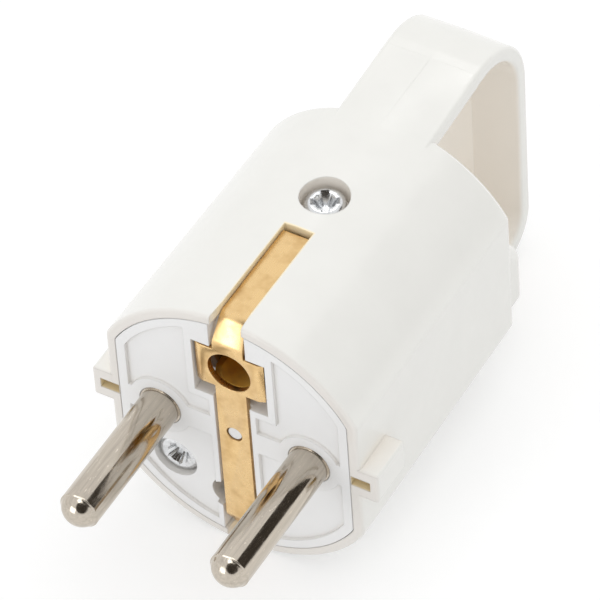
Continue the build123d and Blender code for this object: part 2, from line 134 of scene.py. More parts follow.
def cut(base, tool):
    """One bmesh with another cut out of it, as a new bmesh."""
    base_object = mesh_object(base, "shaping_base")
    tool_object = mesh_object(tool, "shaping_tool")
    modifier = base_object.modifiers.new("shape", "BOOLEAN")
    modifier.operation = "DIFFERENCE"
    modifier.solver = "EXACT"
    modifier.object = tool_object
    graph = bpy.context.evaluated_depsgraph_get()
    shaped = bpy.data.meshes.new_from_object(base_object.evaluated_get(graph))
    result = bmesh.new()
    result.from_mesh(shaped)
    for thing in (base_object, tool_object):
        mesh = thing.data
        bpy.data.objects.remove(thing)
        bpy.data.meshes.remove(mesh)
    bpy.data.meshes.remove(shaped)
    return result


def box_between(low, high):
    """A box between two corners."""
    bm = bmesh.new()
    low = Vector(low)
    high = Vector(high)
    place = Matrix.Translation((low + high) / 2) @ Matrix.Diagonal((*(high - low), 1))
    bmesh.ops.create_cube(bm, size=1, matrix=place)
    return bm


def rod(centre, radius, length, way, segments=64, end_radius=None):
    """A round bar centred on a point and turned one way, straight or tapered."""
    bm = bmesh.new()
    far_radius = radius if end_radius is None else end_radius
    bmesh.ops.create_cone(
        bm, cap_ends=True, segments=segments, radius1=radius, radius2=far_radius, depth=length,
        matrix=Matrix.Translation(centre) @ TURNS[way],
    )
    return bm


def tapered_bar(half_length, half_width, foot_share, foot, top, turn):
    """A four-sided bar along X that narrows downwards, turned about Z."""
    bm = bmesh.new()
    place = (
        Matrix.Rotation(turn, 4, "Z")
        @ Matrix.Translation((0, 0, (foot + top) / 2))
        @ Matrix.Diagonal((half_length, half_width, 1, 1))
        @ Matrix.Rotation(math.pi / 4, 4, "Z")
    )
    corner = math.sqrt(2)
    bmesh.ops.create_cone(
        bm, cap_ends=True, segments=4, radius1=corner * foot_share, radius2=corner, depth=top - foot,
        matrix=place,
    )
    return bm


def turned(profile, segments=64):
    """A shape turned about Z from a list of (radius, height) points."""
    bm = bmesh.new()
    points = [bm.verts.new((radius, 0, height)) for radius, height in profile]
    edges = [bm.edges.new(pair) for pair in zip(points, points[1:])]
    bmesh.ops.spin(
        bm, geom=points + edges, cent=(0, 0, 0), axis=(0, 0, 1), dvec=(0, 0, 0),
        angle=2 * math.pi, steps=segments, use_merge=True,
    )
    bmesh.ops.remove_doubles(bm, verts=bm.verts, dist=MERGE)
    bmesh.ops.recalc_face_normals(bm, faces=bm.faces)
    return bm


def roll(bm, edges, width, segments):
    """Rounds chosen edges."""
    bmesh.ops.bevel(
        bm, geom=edges, offset=width, offset_type="OFFSET", affect="EDGES", segments=segments,
        profile=0.5, material=-1, clamp_overlap=True,
    )


def soften(bm, width, segments, least_angle, wanted=None):
    """Rounds the edges sharper than an angle, or those of them that a test on the edge's middle picks."""
    bmesh.ops.remove_doubles(bm, verts=bm.verts, dist=MERGE)
    least = math.radians(least_angle)
    edges = []
    for edge in bm.edges:
        if len(edge.link_faces) != 2 or edge.calc_face_angle(0.0) < least:
            continue
        middle = (edge.verts[0].co + edge.verts[1].co) / 2
        if wanted is None or wanted(middle):
            edges.append(edge)
    roll(bm, edges, width, segments)


def new_verts(grown):
    """The vertices that an extrusion made."""
    return [item for item in grown["geom"] if isinstance(item, bmesh.types.BMVert)]


def finish_piece(bm, name, slot, node, smooth_angle=35.0):
    """Turns a shaped bmesh into a piece in metres that takes a node's place on the plug."""
    bmesh.ops.scale(bm, vec=Vector((1, 1, 1)) / METRE, verts=bm.verts)
    piece = mesh_object(bm, name)
    mesh = piece.data
    mesh.shade_smooth()
    mesh.set_sharp_from_angle(angle=math.radians(smooth_angle))
    mesh.materials.append(plug_materials()[slot])
    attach(piece, BODY)
    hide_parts(node)


# Shader helpers

def feed(tree, socket, value):
    """Links another node's output into a socket, or sets a plain value there."""
    if isinstance(value, bpy.types.NodeSocket):
        tree.links.new(value, socket)
    else:
        socket.default_value = value


def set_inputs(tree, node, **values):
    """Feeds a node's named inputs."""
    for name, value in values.items():
        feed(tree, node.inputs[name.replace("_", " ")], value)


def add_node(tree, kind, **values):
    """A node with its settings and what its named inputs are fed."""
    node = tree.nodes.new(kind)
    for name, value in values.items():
        if hasattr(node, name):
            setattr(node, name, value)
        else:
            set_inputs(tree, node, **{name: value})
    return node


def start_group(name, inputs, outputs):
    """A shader node group with number inputs and outputs."""
    group = bpy.data.node_groups.new(name, "ShaderNodeTree")
    for label, default in inputs.items():
        socket = group.interface.new_socket(label, in_out="INPUT", socket_type="NodeSocketFloat")
        socket.default_value = default
    for label in outputs:
        group.interface.new_socket(label, in_out="OUTPUT", socket_type="NodeSocketFloat")
    return group, group.nodes.new("NodeGroupInput"), group.nodes.new("NodeGroupOutput")


def mottle_group():
    """Soft patches and fine grain on Object coordinates: a mask and a height."""
    group, source, sink = start_group(
        "Mottle", {"Patch Scale": 200.0, "Grain Scale": 3000.0}, ("Patch", "Grain"))
    place = add_node(group, "ShaderNodeTexCoord")
    for label, detail in (("Patch", 3.0), ("Grain", 2.0)):
        noise = add_node(
            group, "ShaderNodeTexNoise", Vector=place.outputs["Object"], Detail=detail, Roughness=0.6,
            Scale=source.outputs[label + " Scale"])
        group.links.new(noise.outputs["Fac"], sink.inputs[label])
    return group


def streak_group():
    """Long fine lines on Object coordinates, drawn out along Y."""
    group, source, sink = start_group("Streaks", {"Across": 4000.0, "Along": 60.0}, ("Streak",))
    place = add_node(group, "ShaderNodeTexCoord")
    across = source.outputs["Across"]
    stretch = add_node(group, "ShaderNodeCombineXYZ", X=across, Y=source.outputs["Along"], Z=across)
    scaled = add_node(group, "ShaderNodeVectorMath", operation="MULTIPLY")
    group.links.new(place.outputs["Object"], scaled.inputs[0])
    group.links.new(stretch.outputs["Vector"], scaled.inputs[1])
    noise = add_node(
        group, "ShaderNodeTexNoise", Vector=scaled.outputs["Vector"], Scale=1.0, Detail=3.0, Roughness=0.65)
    group.links.new(noise.outputs["Fac"], sink.inputs["Streak"])
    return group


def ramp(tree, source, low, high, from_low=0.3, from_high=0.7):
    """A value mapped from one range to another."""
    node = add_node(
        tree, "ShaderNodeMapRange", Value=source, From_Min=from_low, From_Max=from_high, To_Min=low,
        To_Max=high)
    return node.outputs["Result"]


def rises(tree, value, start, blend=TONE_BLEND):
    """0 up to a start, then rising to 1."""
    return ramp(tree, value, 0.0, 1.0, start, start + blend)


def falls(tree, value, end, blend=TONE_BLEND):
    """1 up to an end, then falling to 0."""
    return ramp(tree, value, 1.0, 0.0, end, end + blend)


def worked_out(tree, operation, *values):
    """The result of a math operation on one or two values."""
    node = add_node(tree, "ShaderNodeMath", operation=operation)
    for value, socket in zip(values, node.inputs):
        tree.links.new(value, socket)
    return node.outputs["Value"]


def product(tree, *factors):
    """All factors multiplied."""
    result = factors[0]
    for factor in factors[1:]:
        result = worked_out(tree, "MULTIPLY", result, factor)
    return result


def blend_colour(tree, factor, first, second):
    """A colour between two colours, by a factor."""
    node = add_node(tree, "ShaderNodeMix", data_type="RGBA", Factor=factor)
    colours = [socket for socket in node.inputs if socket.type == "RGBA"]
    for socket, colour in zip(colours, (first, second)):
        feed(tree, socket, colour)
    return [socket for socket in node.outputs if socket.type == "RGBA"][0]


def shaded(colour, share=1.0):
    """A colour with its brightness scaled."""
    return (*(channel * share for channel in colour), 1.0)


def new_material(name):
    """A plain material, its node tree and its Principled shader."""
    material = bpy.data.materials.new(name)
    material.use_nodes = True
    tree = material.node_tree
    shader = next(node for node in tree.nodes if node.type == "BSDF_PRINCIPLED")
    return material, tree, shader


def place_group(tree, group, **values):
    """A node group placed in a material with its own values."""
    return add_node(tree, "ShaderNodeGroup", node_tree=group, **values)


def relief(tree, shader, height, strength, edge):
    """Fine relief over edges that are eased by a small radius. Gives the last normal."""
    eased = add_node(tree, "ShaderNodeBevel", samples=6, Radius=edge)
    bump = add_node(
        tree, "ShaderNodeBump", Strength=strength, Distance=RELIEF_DEPTH, Height=height,
        Normal=eased.outputs["Normal"])
    set_inputs(tree, shader, Normal=bump.outputs["Normal"])
    return bump.outputs["Normal"]


def painted_shade_mask(tree):
    """1 where shade is painted inside a piece's hollows, falling to 0 where it is open."""
    hollow = add_node(tree, "ShaderNodeAmbientOcclusion", samples=8, only_local=True, Distance=SHADE_REACH)
    return ramp(tree, hollow.outputs["AO"], 1.0, 0.0, SHADE_FULL, SHADE_END)


def seen_directly(tree):
    """1 for camera, glossy and transmission rays, else 0."""
    path = add_node(tree, "ShaderNodeLightPath")
    mirrored = worked_out(tree, "MAXIMUM", path.outputs["Is Camera Ray"], path.outputs["Is Glossy Ray"])
    return worked_out(tree, "MAXIMUM", mirrored, path.outputs["Is Transmission Ray"])


# Finishes

def plastic_material(name, colour, painted_shade_colour, roughness, groups, edge):
    """Moulded plastic: faint clouding, painted warm shade in hollows, a soft uneven gloss and a fine grain.
    """
    material, tree, shader = new_material(name)
    mottle = place_group(tree, groups["mottle"], Patch_Scale=180.0, Grain_Scale=5200.0)
    cloud = ramp(tree, mottle.outputs["Patch"], 0.0, 1.0)
    tint = blend_colour(tree, cloud, shaded(colour, 0.985), shaded(colour, 1.01))
    # Painted shade: hollows take a warm tint that stands in for light bounced between their walls
    warm = blend_colour(tree, painted_shade_mask(tree), tint, shaded(painted_shade_colour))
    gloss = ramp(tree, mottle.outputs["Patch"], roughness - 0.04, roughness + 0.05)
    set_inputs(tree, shader, Roughness=gloss, Specular_IOR_Level=0.5)
    normal = relief(tree, shader, mottle.outputs["Grain"], strength=0.05, edge=edge)
    return material, tree, shader, warm, normal


def housing_material(name, settings, groups):
    """The housing's plastic, with painted shade on the rim, the lug slots and the loop's right inside, the
    brass's painted reflection in the strip's slots, and the mould's line along the loop.
    """
    material, tree, shader, tone, normal = plastic_material(
        name, settings.housing_colour, settings.housing_shade_colour, settings.housing_roughness, groups,
        settings.housing_edge)
    place = add_node(tree, "ShaderNodeTexCoord")
    parts = add_node(tree, "ShaderNodeSeparateXYZ", Vector=place.outputs["Object"])
    x, y, z = (parts.outputs[axis] for axis in "XYZ")
    off_x = worked_out(tree, "ABSOLUTE", x)
    off_z = worked_out(tree, "ABSOLUTE", z)
    bend = settings.flash_end - LINE_FADE
    # Painted shade: the front rim is drawn darker and warmer than the lit top
    rim = falls(tree, y, 0.0, settings.rim_shade_depth)
    # Painted shade: the loop's right inside half is drawn darker than its left
    loop_right_shade = product(
        tree, rises(tree, x, -settings.flash_width, 2 * settings.flash_width),
        rises(tree, y, bend, LINE_FADE), painted_shade_mask(tree))
    # Painted reflection: the walls of the strip's slots take the brass's golden light
    slot_brass_reflection = product(tree, falls(tree, off_x, settings.slot_half), falls(tree, y, settings.slot_back))
    # Painted shade: the lug slots' insides are drawn golden tan
    lug_slot_shade = product(
        tree, rises(tree, off_x, settings.lug_start), falls(tree, off_x, settings.lug_end),
        falls(tree, off_z, settings.lug_half), rises(tree, y, 0.0), falls(tree, y, settings.lug_back))
    # Painted shade on the rim, the loop's right inside and the lug slots, and painted brass reflection in the
    # strip's slots
    for mask, colour in (
        (rim, shaded(settings.rim_shade_colour)),
        (loop_right_shade, shaded(settings.housing_shade_colour, 0.90)),
        (slot_brass_reflection, shaded(settings.slot_reflection_colour)),
        (lug_slot_shade, shaded(settings.lug_shade_colour)),
    ):
        tone = blend_colour(tree, mask, tone, colour)
    shown = worked_out(
        tree, "MAXIMUM", falls(tree, y, bend, LINE_FADE),
        falls(tree, z, settings.loop_under - LOOP_BLEND, LOOP_BLEND))
    height = product(
        tree, falls(tree, off_x, 0.0, settings.flash_width),
        rises(tree, y, settings.flash_start, LINE_RISE), shown)
    line = add_node(
        tree, "ShaderNodeBump", Strength=0.7, Distance=2 * RELIEF_DEPTH, Height=height, Normal=normal)
    set_inputs(tree, shader, Base_Color=tone, Normal=line.outputs["Normal"])
    return material


def bore_shade_mask(tree, settings):
    """1 where shade is painted in the room round the earth bore, from a depth behind the face, else 0."""
    place = add_node(tree, "ShaderNodeTexCoord")
    away = add_node(tree, "ShaderNodeVectorMath", operation="SUBTRACT")
    tree.links.new(place.outputs["Object"], away.inputs[0])
    away.inputs[1].default_value = settings.earth_place
    reach = add_node(tree, "ShaderNodeVectorMath", operation="ABSOLUTE")
    tree.links.new(away.outputs["Vector"], reach.inputs[0])
    parts = add_node(tree, "ShaderNodeSeparateXYZ", Vector=reach.outputs["Vector"])
    half_width, half_height = settings.bore_shade_reach
    return product(
        tree, rises(tree, parts.outputs["Y"], settings.bore_shade_start),
        falls(tree, parts.outputs["X"], half_width - TONE_BLEND),
        falls(tree, parts.outputs["Z"], half_height - TONE_BLEND))


def carrier_material(name, settings, groups):
    """The contact carrier's plastic, with painted shade that makes it dark inside the earth bore."""
    material, tree, shader, warm, _ = plastic_material(
        name, settings.insert_colour, settings.insert_shade_colour, settings.insert_roughness, groups,
        settings.insert_edge)
    # Painted shade: the room round the earth bore is drawn dark
    tone = blend_colour(tree, bore_shade_mask(tree, settings), warm, shaded(settings.bore_shade_colour))
    set_inputs(tree, shader, Base_Color=tone)
    return material


def brass_material(name, colour, stain, groups, roughness):
    """Rolled brass sheet: golden, with brown mottling and fine rolling lines."""
    material, tree, shader = new_material(name)
    mottle = place_group(tree, groups["mottle"], Patch_Scale=420.0, Grain_Scale=2600.0)
    streaks = place_group(tree, groups["streaks"], Across=5200.0, Along=160.0)
    stained = ramp(tree, mottle.outputs["Patch"], 0.0, 0.55, 0.46, 0.72)
    tint = blend_colour(tree, stained, shaded(colour), shaded(stain))
    dull = ramp(tree, mottle.outputs["Patch"], roughness, roughness + 0.14)
    lined = ramp(tree, streaks.outputs["Streak"], -0.03, 0.05)
    rough = worked_out(tree, "ADD", dull, lined)
    set_inputs(tree, shader, Base_Color=tint, Roughness=rough, Metallic=1.0)
    relief(tree, shader, streaks.outputs["Streak"], strength=0.12, edge=0.00008)
    return material


def plating_material(name, colour, groups, roughness, across, along, strength):
    """Plated metal with fine drawn scratches, short nicks that are partly bare metal and partly painted
    glints, and uneven gloss.
    """
    material, tree, shader = new_material(name)
    mottle = place_group(tree, groups["mottle"], Patch_Scale=350.0, Grain_Scale=4200.0)
    streaks = place_group(tree, groups["streaks"], Across=across, Along=along)
    worn = ramp(tree, streaks.outputs["Streak"], 0.0, 1.0, 0.35, 0.75)
    tint = blend_colour(tree, worn, shaded(colour), shaded(colour, 0.78))
    # Short nicks are painted brighter: partly bare metal, partly painted glints where scratches would catch
    # the light
    nicks = place_group(tree, groups["streaks"], Across=1.5 * across, Along=6.0 * along)
    nick_glints = ramp(tree, nicks.outputs["Streak"], 0.0, 1.0, 0.63, 0.73)
    bright = blend_colour(tree, nick_glints, tint, shaded(colour, 1.35))
    dull = ramp(tree, mottle.outputs["Patch"], roughness - 0.04, roughness + 0.06)
    scored = ramp(tree, nicks.outputs["Streak"], 0.0, 0.16, 0.50, 0.75)
    rough = worked_out(tree, "ADD", dull, scored)
    set_inputs(tree, shader, Base_Color=bright, Roughness=rough, Metallic=1.0)
    grain = worked_out(tree, "ADD", streaks.outputs["Streak"], mottle.outputs["Grain"])
    relief(tree, shader, grain, strength, edge=0.00003)
    return material


def plug_materials():
    """The plug's materials by slot, made once."""
    names = MATERIAL_NAMES
    if names["shell_plastic"] in bpy.data.materials:
        return {slot: bpy.data.materials[label] for slot, label in names.items()}
    settings = bpy.context.scene.plug_finish
    groups = {"mottle": mottle_group(), "streaks": streak_group()}
    return {
        "shell_plastic": housing_material(names["shell_plastic"], settings, groups),
        "insert_plastic": carrier_material(names["insert_plastic"], settings, groups),
        "pin_plating": plating_material(
            names["pin_plating"], settings.nickel_colour, groups,
            roughness=0.11, across=2600.0, along=150.0, strength=0.12),
        "earth_brass": brass_material(
            names["earth_brass"], settings.brass_colour, settings.stain_colour, groups, roughness=0.22),
        "sleeve_brass": brass_material(
            names["sleeve_brass"], settings.sleeve_colour, settings.stain_colour, groups, roughness=0.66),
        "screw_steel": plating_material(
            names["screw_steel"], settings.zinc_colour, groups,
            roughness=0.16, across=1800.0, along=1500.0, strength=0.08),
    }


# Settings, with the keywords that like properties share

LENGTH = {"subtype": "DISTANCE", "unit": "LENGTH"}
COLOUR = {"subtype": "COLOR", "min": 0.0, "max": 1.0}
POWER = {"subtype": "POWER", "unit": "POWER"}


class FinishSettings(bpy.types.PropertyGroup):
    """Colours and gloss of the plug, and the colours that paint shade and reflected light on it."""
    housing_colour: bpy.props.FloatVectorProperty(
        name="Housing colour", description="Warm white of the housing", default=(0.83, 0.825, 0.79),
        **COLOUR)
    insert_colour: bpy.props.FloatVectorProperty(
        name="Insert colour", description="Cooler white of the contact carrier", default=(0.84, 0.84, 0.84),
        **COLOUR)
    # Painted shade: a warm tint for the housing's hollows, standing in for light bounced between their walls
    housing_shade_colour: bpy.props.FloatVectorProperty(
        name="Housing hollow colour", description="Warm tone of the housing inside hollows",
        default=(0.95, 0.89, 0.81), **COLOUR)
    # Painted shade: the same warm tint for the contact carrier's hollows
    insert_shade_colour: bpy.props.FloatVectorProperty(
        name="Insert hollow colour", description="Tone of the contact carrier inside hollows",
        default=(0.84, 0.82, 0.79), **COLOUR)
    # Painted shade: the dark of the deep room behind the earth hole, put into the plastic's colour
    bore_shade_colour: bpy.props.FloatVectorProperty(
        name="Bore colour", description="Dark tone of the plastic behind the earth hole",
        default=(0.13, 0.06, 0.015), **COLOUR)
    # Painted shade: the golden tan of the lug slots' shaded insides; the lug settings below bound it
    lug_shade_colour: bpy.props.FloatVectorProperty(
        name="Lug slot colour", description="Golden tone of the plastic inside the lug slots",
        default=(0.90, 0.77, 0.51), **COLOUR)
    lug_start: bpy.props.FloatProperty(
        name="Lug start", description="How far from the middle plane the lug slots' tone starts",
        default=0.0135, **LENGTH)
    lug_end: bpy.props.FloatProperty(
        name="Lug end", description="How far from the middle plane the lug slots' tone ends",
        default=0.0177, **LENGTH)
    lug_half: bpy.props.FloatProperty(
        name="Lug slot half height", description="Half the height of the lug slots' tone", default=0.00071,
        **LENGTH)
    lug_back: bpy.props.FloatProperty(
        name="Lug slot depth", description="How far behind the face the lug slots' tone ends",
        default=0.0041, **LENGTH)
    # The earth bore's place, reach and start bound where the bore's shade is painted
    earth_place: bpy.props.FloatVectorProperty(
        name="Earth bore place", description="Middle of the earth bore on the face",
        default=(0.0, 0.0, 0.010), subtype="TRANSLATION", unit="LENGTH")
    bore_shade_reach: bpy.props.FloatVectorProperty(
        name="Earth bore reach",
        description="Half width and half height of the dark room round the earth sleeve",
        default=(0.0052, 0.0030), subtype="TRANSLATION", unit="LENGTH", size=2)
    bore_shade_start: bpy.props.FloatProperty(
        name="Earth bore start", description="Depth from which the bore's wall is dark", default=0.0009,
        **LENGTH)
    sleeve_colour: bpy.props.FloatVectorProperty(
        name="Sleeve colour", description="Deeper brass inside the earth sleeve",
        default=(0.85, 0.56, 0.13), **COLOUR)
    brass_colour: bpy.props.FloatVectorProperty(
        name="Brass colour", description="Clean brass of the earth strip", default=(0.86, 0.605, 0.30),
        **COLOUR)
    stain_colour: bpy.props.FloatVectorProperty(
        name="Brass stain", description="Brown mottling on the brass", default=(0.55, 0.33, 0.12), **COLOUR)
    nickel_colour: bpy.props.FloatVectorProperty(
        name="Nickel colour", description="Warm nickel of the pins", default=(0.59, 0.53, 0.45), **COLOUR)
    zinc_colour: bpy.props.FloatVectorProperty(
        name="Zinc colour", description="Bright zinc of the screws", default=(0.78, 0.79, 0.80), **COLOUR)
    housing_roughness: bpy.props.FloatProperty(
        name="Housing roughness", description="Gloss of the housing", default=0.19, subtype="FACTOR",
        min=0.0, max=1.0)
    insert_roughness: bpy.props.FloatProperty(
        name="Insert roughness", description="Gloss of the contact carrier", default=0.38, subtype="FACTOR",
        min=0.0, max=1.0)
    housing_edge: bpy.props.FloatProperty(
        name="Housing edges", description="Radius that eases the housing's edges", default=0.00025, min=0.0,
        **LENGTH)
    insert_edge: bpy.props.FloatProperty(
        name="Insert edges", description="Radius that eases the carrier's edges", default=0.00018, min=0.0,
        **LENGTH)
    flash_width: bpy.props.FloatProperty(
        name="Parting line width", description="Half width of the mould's line along the loop",
        default=0.00009, min=0.0, **LENGTH)
    flash_start: bpy.props.FloatProperty(
        name="Parting line start", description="How far behind the face the mould's line starts",
        default=0.033, **LENGTH)
    flash_end: bpy.props.FloatProperty(
        name="Parting line end", description="How far behind the face the mould's line ends",
        default=0.0462, **LENGTH)
    loop_under: bpy.props.FloatProperty(
        name="Loop underside", description="Height under which the mould's line goes on round the loop",
        default=0.0165, **LENGTH)
    # Painted reflection: golden light that the brass throws onto the walls of its slots; the slot settings
    # below bound it
    slot_reflection_colour: bpy.props.FloatVectorProperty(
        name="Slot colour", description="Golden tone that the brass gives the walls of its slots",
        default=(1.0, 0.86, 0.58), **COLOUR)
    slot_half: bpy.props.FloatProperty(
        name="Slot half width", description="How far from the middle plane the slots' tone reaches",
        default=0.00183, **LENGTH)
    slot_back: bpy.props.FloatProperty(
        name="Slot end", description="How far behind the face the slots' tone ends", default=0.0163,
        **LENGTH)
    # Painted shade: the front rim drawn darker and warmer than the lit top, and how deep it reaches
    rim_shade_colour: bpy.props.FloatVectorProperty(
        name="Rim colour", description="Warm tone of the housing's front rim",
        default=(0.785, 0.755, 0.715), **COLOUR)
    rim_shade_depth: bpy.props.FloatProperty(
        name="Rim depth", description="How far behind the face the rim's tone ends", default=0.0005,
        min=0.0, **LENGTH)


class StripSettings(bpy.types.PropertyGroup):
    """Sizes of the folded earth strip."""
    thickness: bpy.props.FloatProperty(
        name="Thickness", description="Thickness of the brass sheet", default=0.0008, **LENGTH)
    face_half_width: bpy.props.FloatProperty(
        name="Face half width", description="Half the strip's width on the face", default=0.00195, **LENGTH)
    run_half_width: bpy.props.FloatProperty(
        name="Run half width", description="Half the strip's width in the slots", default=0.00165, **LENGTH)
    bend_depth: bpy.props.FloatProperty(
        name="Bend depth", description="Where the strip bends into its run", default=0.00192, **LENGTH)
    bend_height: bpy.props.FloatProperty(
        name="Bend height", description="Where the strip leaves the face", default=0.01411, **LENGTH)
    run_roll: bpy.props.FloatProperty(
        name="Run roll", description="Length of the rounding into the run", default=0.00074, **LENGTH)
    face_roll: bpy.props.FloatProperty(
        name="Face roll", description="Length of the rounding off the face", default=0.00036, **LENGTH)
    earth_height: bpy.props.FloatProperty(
        name="Earth hole height", description="Middle of the earth hole and the wings", default=0.010,
        **LENGTH)
    earth_radius: bpy.props.FloatProperty(
        name="Earth hole radius", description="Radius of the earth hole", default=0.0027, **LENGTH)
    pip_radius: bpy.props.FloatProperty(
        name="Pip hole radius", description="Radius of the hole round the moulded pip", default=0.001,
        **LENGTH)
    wing_half_width: bpy.props.FloatProperty(
        name="Wing reach", description="Where the wings bend back", default=0.0036, **LENGTH)
    wing_half_height: bpy.props.FloatProperty(
        name="Wing half height", description="Half the wings' height", default=0.0029, **LENGTH)
    lip_depth: bpy.props.FloatProperty(
        name="Lip depth", description="How far the wings' lips lean back", default=0.0003, **LENGTH)
    edge: bpy.props.FloatProperty(
        name="Edge", description="Width of the strip's eased edges", default=0.00009, **LENGTH)


class PinSettings(bpy.types.PropertyGroup):
    """Sizes of the turned pins."""
    radius: bpy.props.FloatProperty(
        name="Radius", description="Radius of the pin", default=0.0024, **LENGTH)
    cap_radius: bpy.props.FloatProperty(
        name="Cap radius", description="Radius of the domed tip at its foot", default=0.00222, **LENGTH)
    cap_height: bpy.props.FloatProperty(
        name="Cap height", description="Height of the domed tip over its foot", default=0.0015, **LENGTH)
    cap_step: bpy.props.FloatProperty(
        name="Cap step", description="Length of the chamfer from the tip's foot to the pin", default=0.0001,
        **LENGTH)
    shank_radius: bpy.props.FloatProperty(
        name="Shank radius", description="Radius of the part seated in the carrier", default=0.0026,
        **LENGTH)
    collar_front: bpy.props.FloatProperty(
        name="Collar front", description="Depth of the collar's front", default=0.009, **LENGTH)
    collar_back: bpy.props.FloatProperty(
        name="Collar back", description="Depth of the collar's back", default=0.0106, **LENGTH)
    terminal_radius: bpy.props.FloatProperty(
        name="Terminal radius", description="Radius of the wire terminal", default=0.0034, **LENGTH)
    flat_start: bpy.props.FloatProperty(
        name="Flat start", description="Depth at which the terminal's flat starts", default=0.012, **LENGTH)
    flat_height: bpy.props.FloatProperty(
        name="Flat height", description="Height of the terminal's flat over the pin's middle",
        default=0.0028, **LENGTH)
    wire_radius: bpy.props.FloatProperty(
        name="Wire bore radius", description="Radius of the bore for the wire", default=0.0016, **LENGTH)
    wire_depth: bpy.props.FloatProperty(
        name="Wire bore depth", description="Depth of the bore for the wire", default=0.0066, **LENGTH)
    screw_inset: bpy.props.FloatProperty(
        name="Screw inset", description="From the terminal's end to its screw", default=0.0036, **LENGTH)
    screw_radius: bpy.props.FloatProperty(
        name="Screw hole radius", description="Radius of the terminal screw's hole", default=0.00155,
        **LENGTH)
    edge: bpy.props.FloatProperty(
        name="Edge", description="Width of the pin's eased edges", default=0.00003, **LENGTH)


class ScrewSettings(bpy.types.PropertyGroup):
    """Sizes of the pan-head screws."""
    head_height: bpy.props.FloatProperty(
        name="Head height", description="Height of the pan head", default=0.0019, **LENGTH)
    head_edge: bpy.props.FloatProperty(
        name="Head edge", description="Width of the sloping rim of the head", default=0.0005, **LENGTH)
    head_drop: bpy.props.FloatProperty(
        name="Head drop", description="Height of the sloping rim of the head", default=0.0003, **LENGTH)
    shank_radius: bpy.props.FloatProperty(
        name="Shank radius", description="Radius of the threaded shank", default=0.0015, **LENGTH)
    recess_depth: bpy.props.FloatProperty(
        name="Recess depth", description="Depth of the cross recess", default=0.0014, **LENGTH)
    recess_reach: bpy.props.FloatProperty(
        name="Recess reach", description="Half the length of the cross recess", default=0.00172, **LENGTH)


class StageSettings(bpy.types.PropertyGroup):
    """Camera and light."""
    azimuth: bpy.props.FloatProperty(
        name="Camera azimuth", description="Turn of the camera from straight ahead",
        default=math.radians(32.984), subtype="ANGLE", unit="ROTATION")
    elevation: bpy.props.FloatProperty(
        name="Camera elevation", description="Height of the camera above the horizon",
        default=math.radians(46.657), subtype="ANGLE", unit="ROTATION")
    roll: bpy.props.FloatProperty(
        name="Camera roll", description="Tilt of the camera about its own line of sight",
        default=math.radians(-4.320), subtype="ANGLE", unit="ROTATION")
    distance: bpy.props.FloatProperty(
        name="Camera distance", description="From the engagement face to the camera", default=0.72039,
        **LENGTH)
    right: bpy.props.FloatProperty(
        name="Camera to the right",
        description="How far the line of sight passes right of the face's middle", default=0.007248,
        **LENGTH)
    up: bpy.props.FloatProperty(
        name="Camera up", description="How far the line of sight passes above the face's middle",
        default=0.014832, **LENGTH)
    lens: bpy.props.FloatProperty(
        name="Lens", description="Focal length", default=392.4, subtype="DISTANCE_CAMERA")
    sky: bpy.props.FloatProperty(
        name="Sky strength", description="Even light from all round", default=0.83, min=0.0)
    key: bpy.props.FloatProperty(
        name="Key light", description="Power of the soft box overhead", default=0.9, **POWER)
    fill: bpy.props.FloatProperty(
        name="Front light", description="Power of the soft box before the face", default=0.48, **POWER)
    back: bpy.props.FloatProperty(
        name="Back light", description="Power of the soft box high behind the plug", default=0.42, **POWER)
    tips: bpy.props.FloatProperty(
        name="Tip light", description="Power of the soft box over the pins' tips", default=1.8, **POWER)
    bend: bpy.props.FloatProperty(
        name="Bend light", description="Power of the soft box that shines in the strip's bend",
        default=0.11, **POWER)


# Steps

class PLUG_OT_carried_over(bpy.types.Operator):
    """Give the pieces that keep their built shape their finish"""
    bl_idname = "plug.carried_over"
    bl_label = "Finish Built Pieces"

    def execute(self, context):
        materials = plug_materials()
        for row in frame["record"]["subparts"]:
            mesh = NODES[row["node"]].data
            mesh.materials.clear()
            finish = "sleeve_brass" if row["node"] == "earth_socket" else row["material_slot"]
            mesh.materials.append(materials[finish])
        return {"FINISHED"}


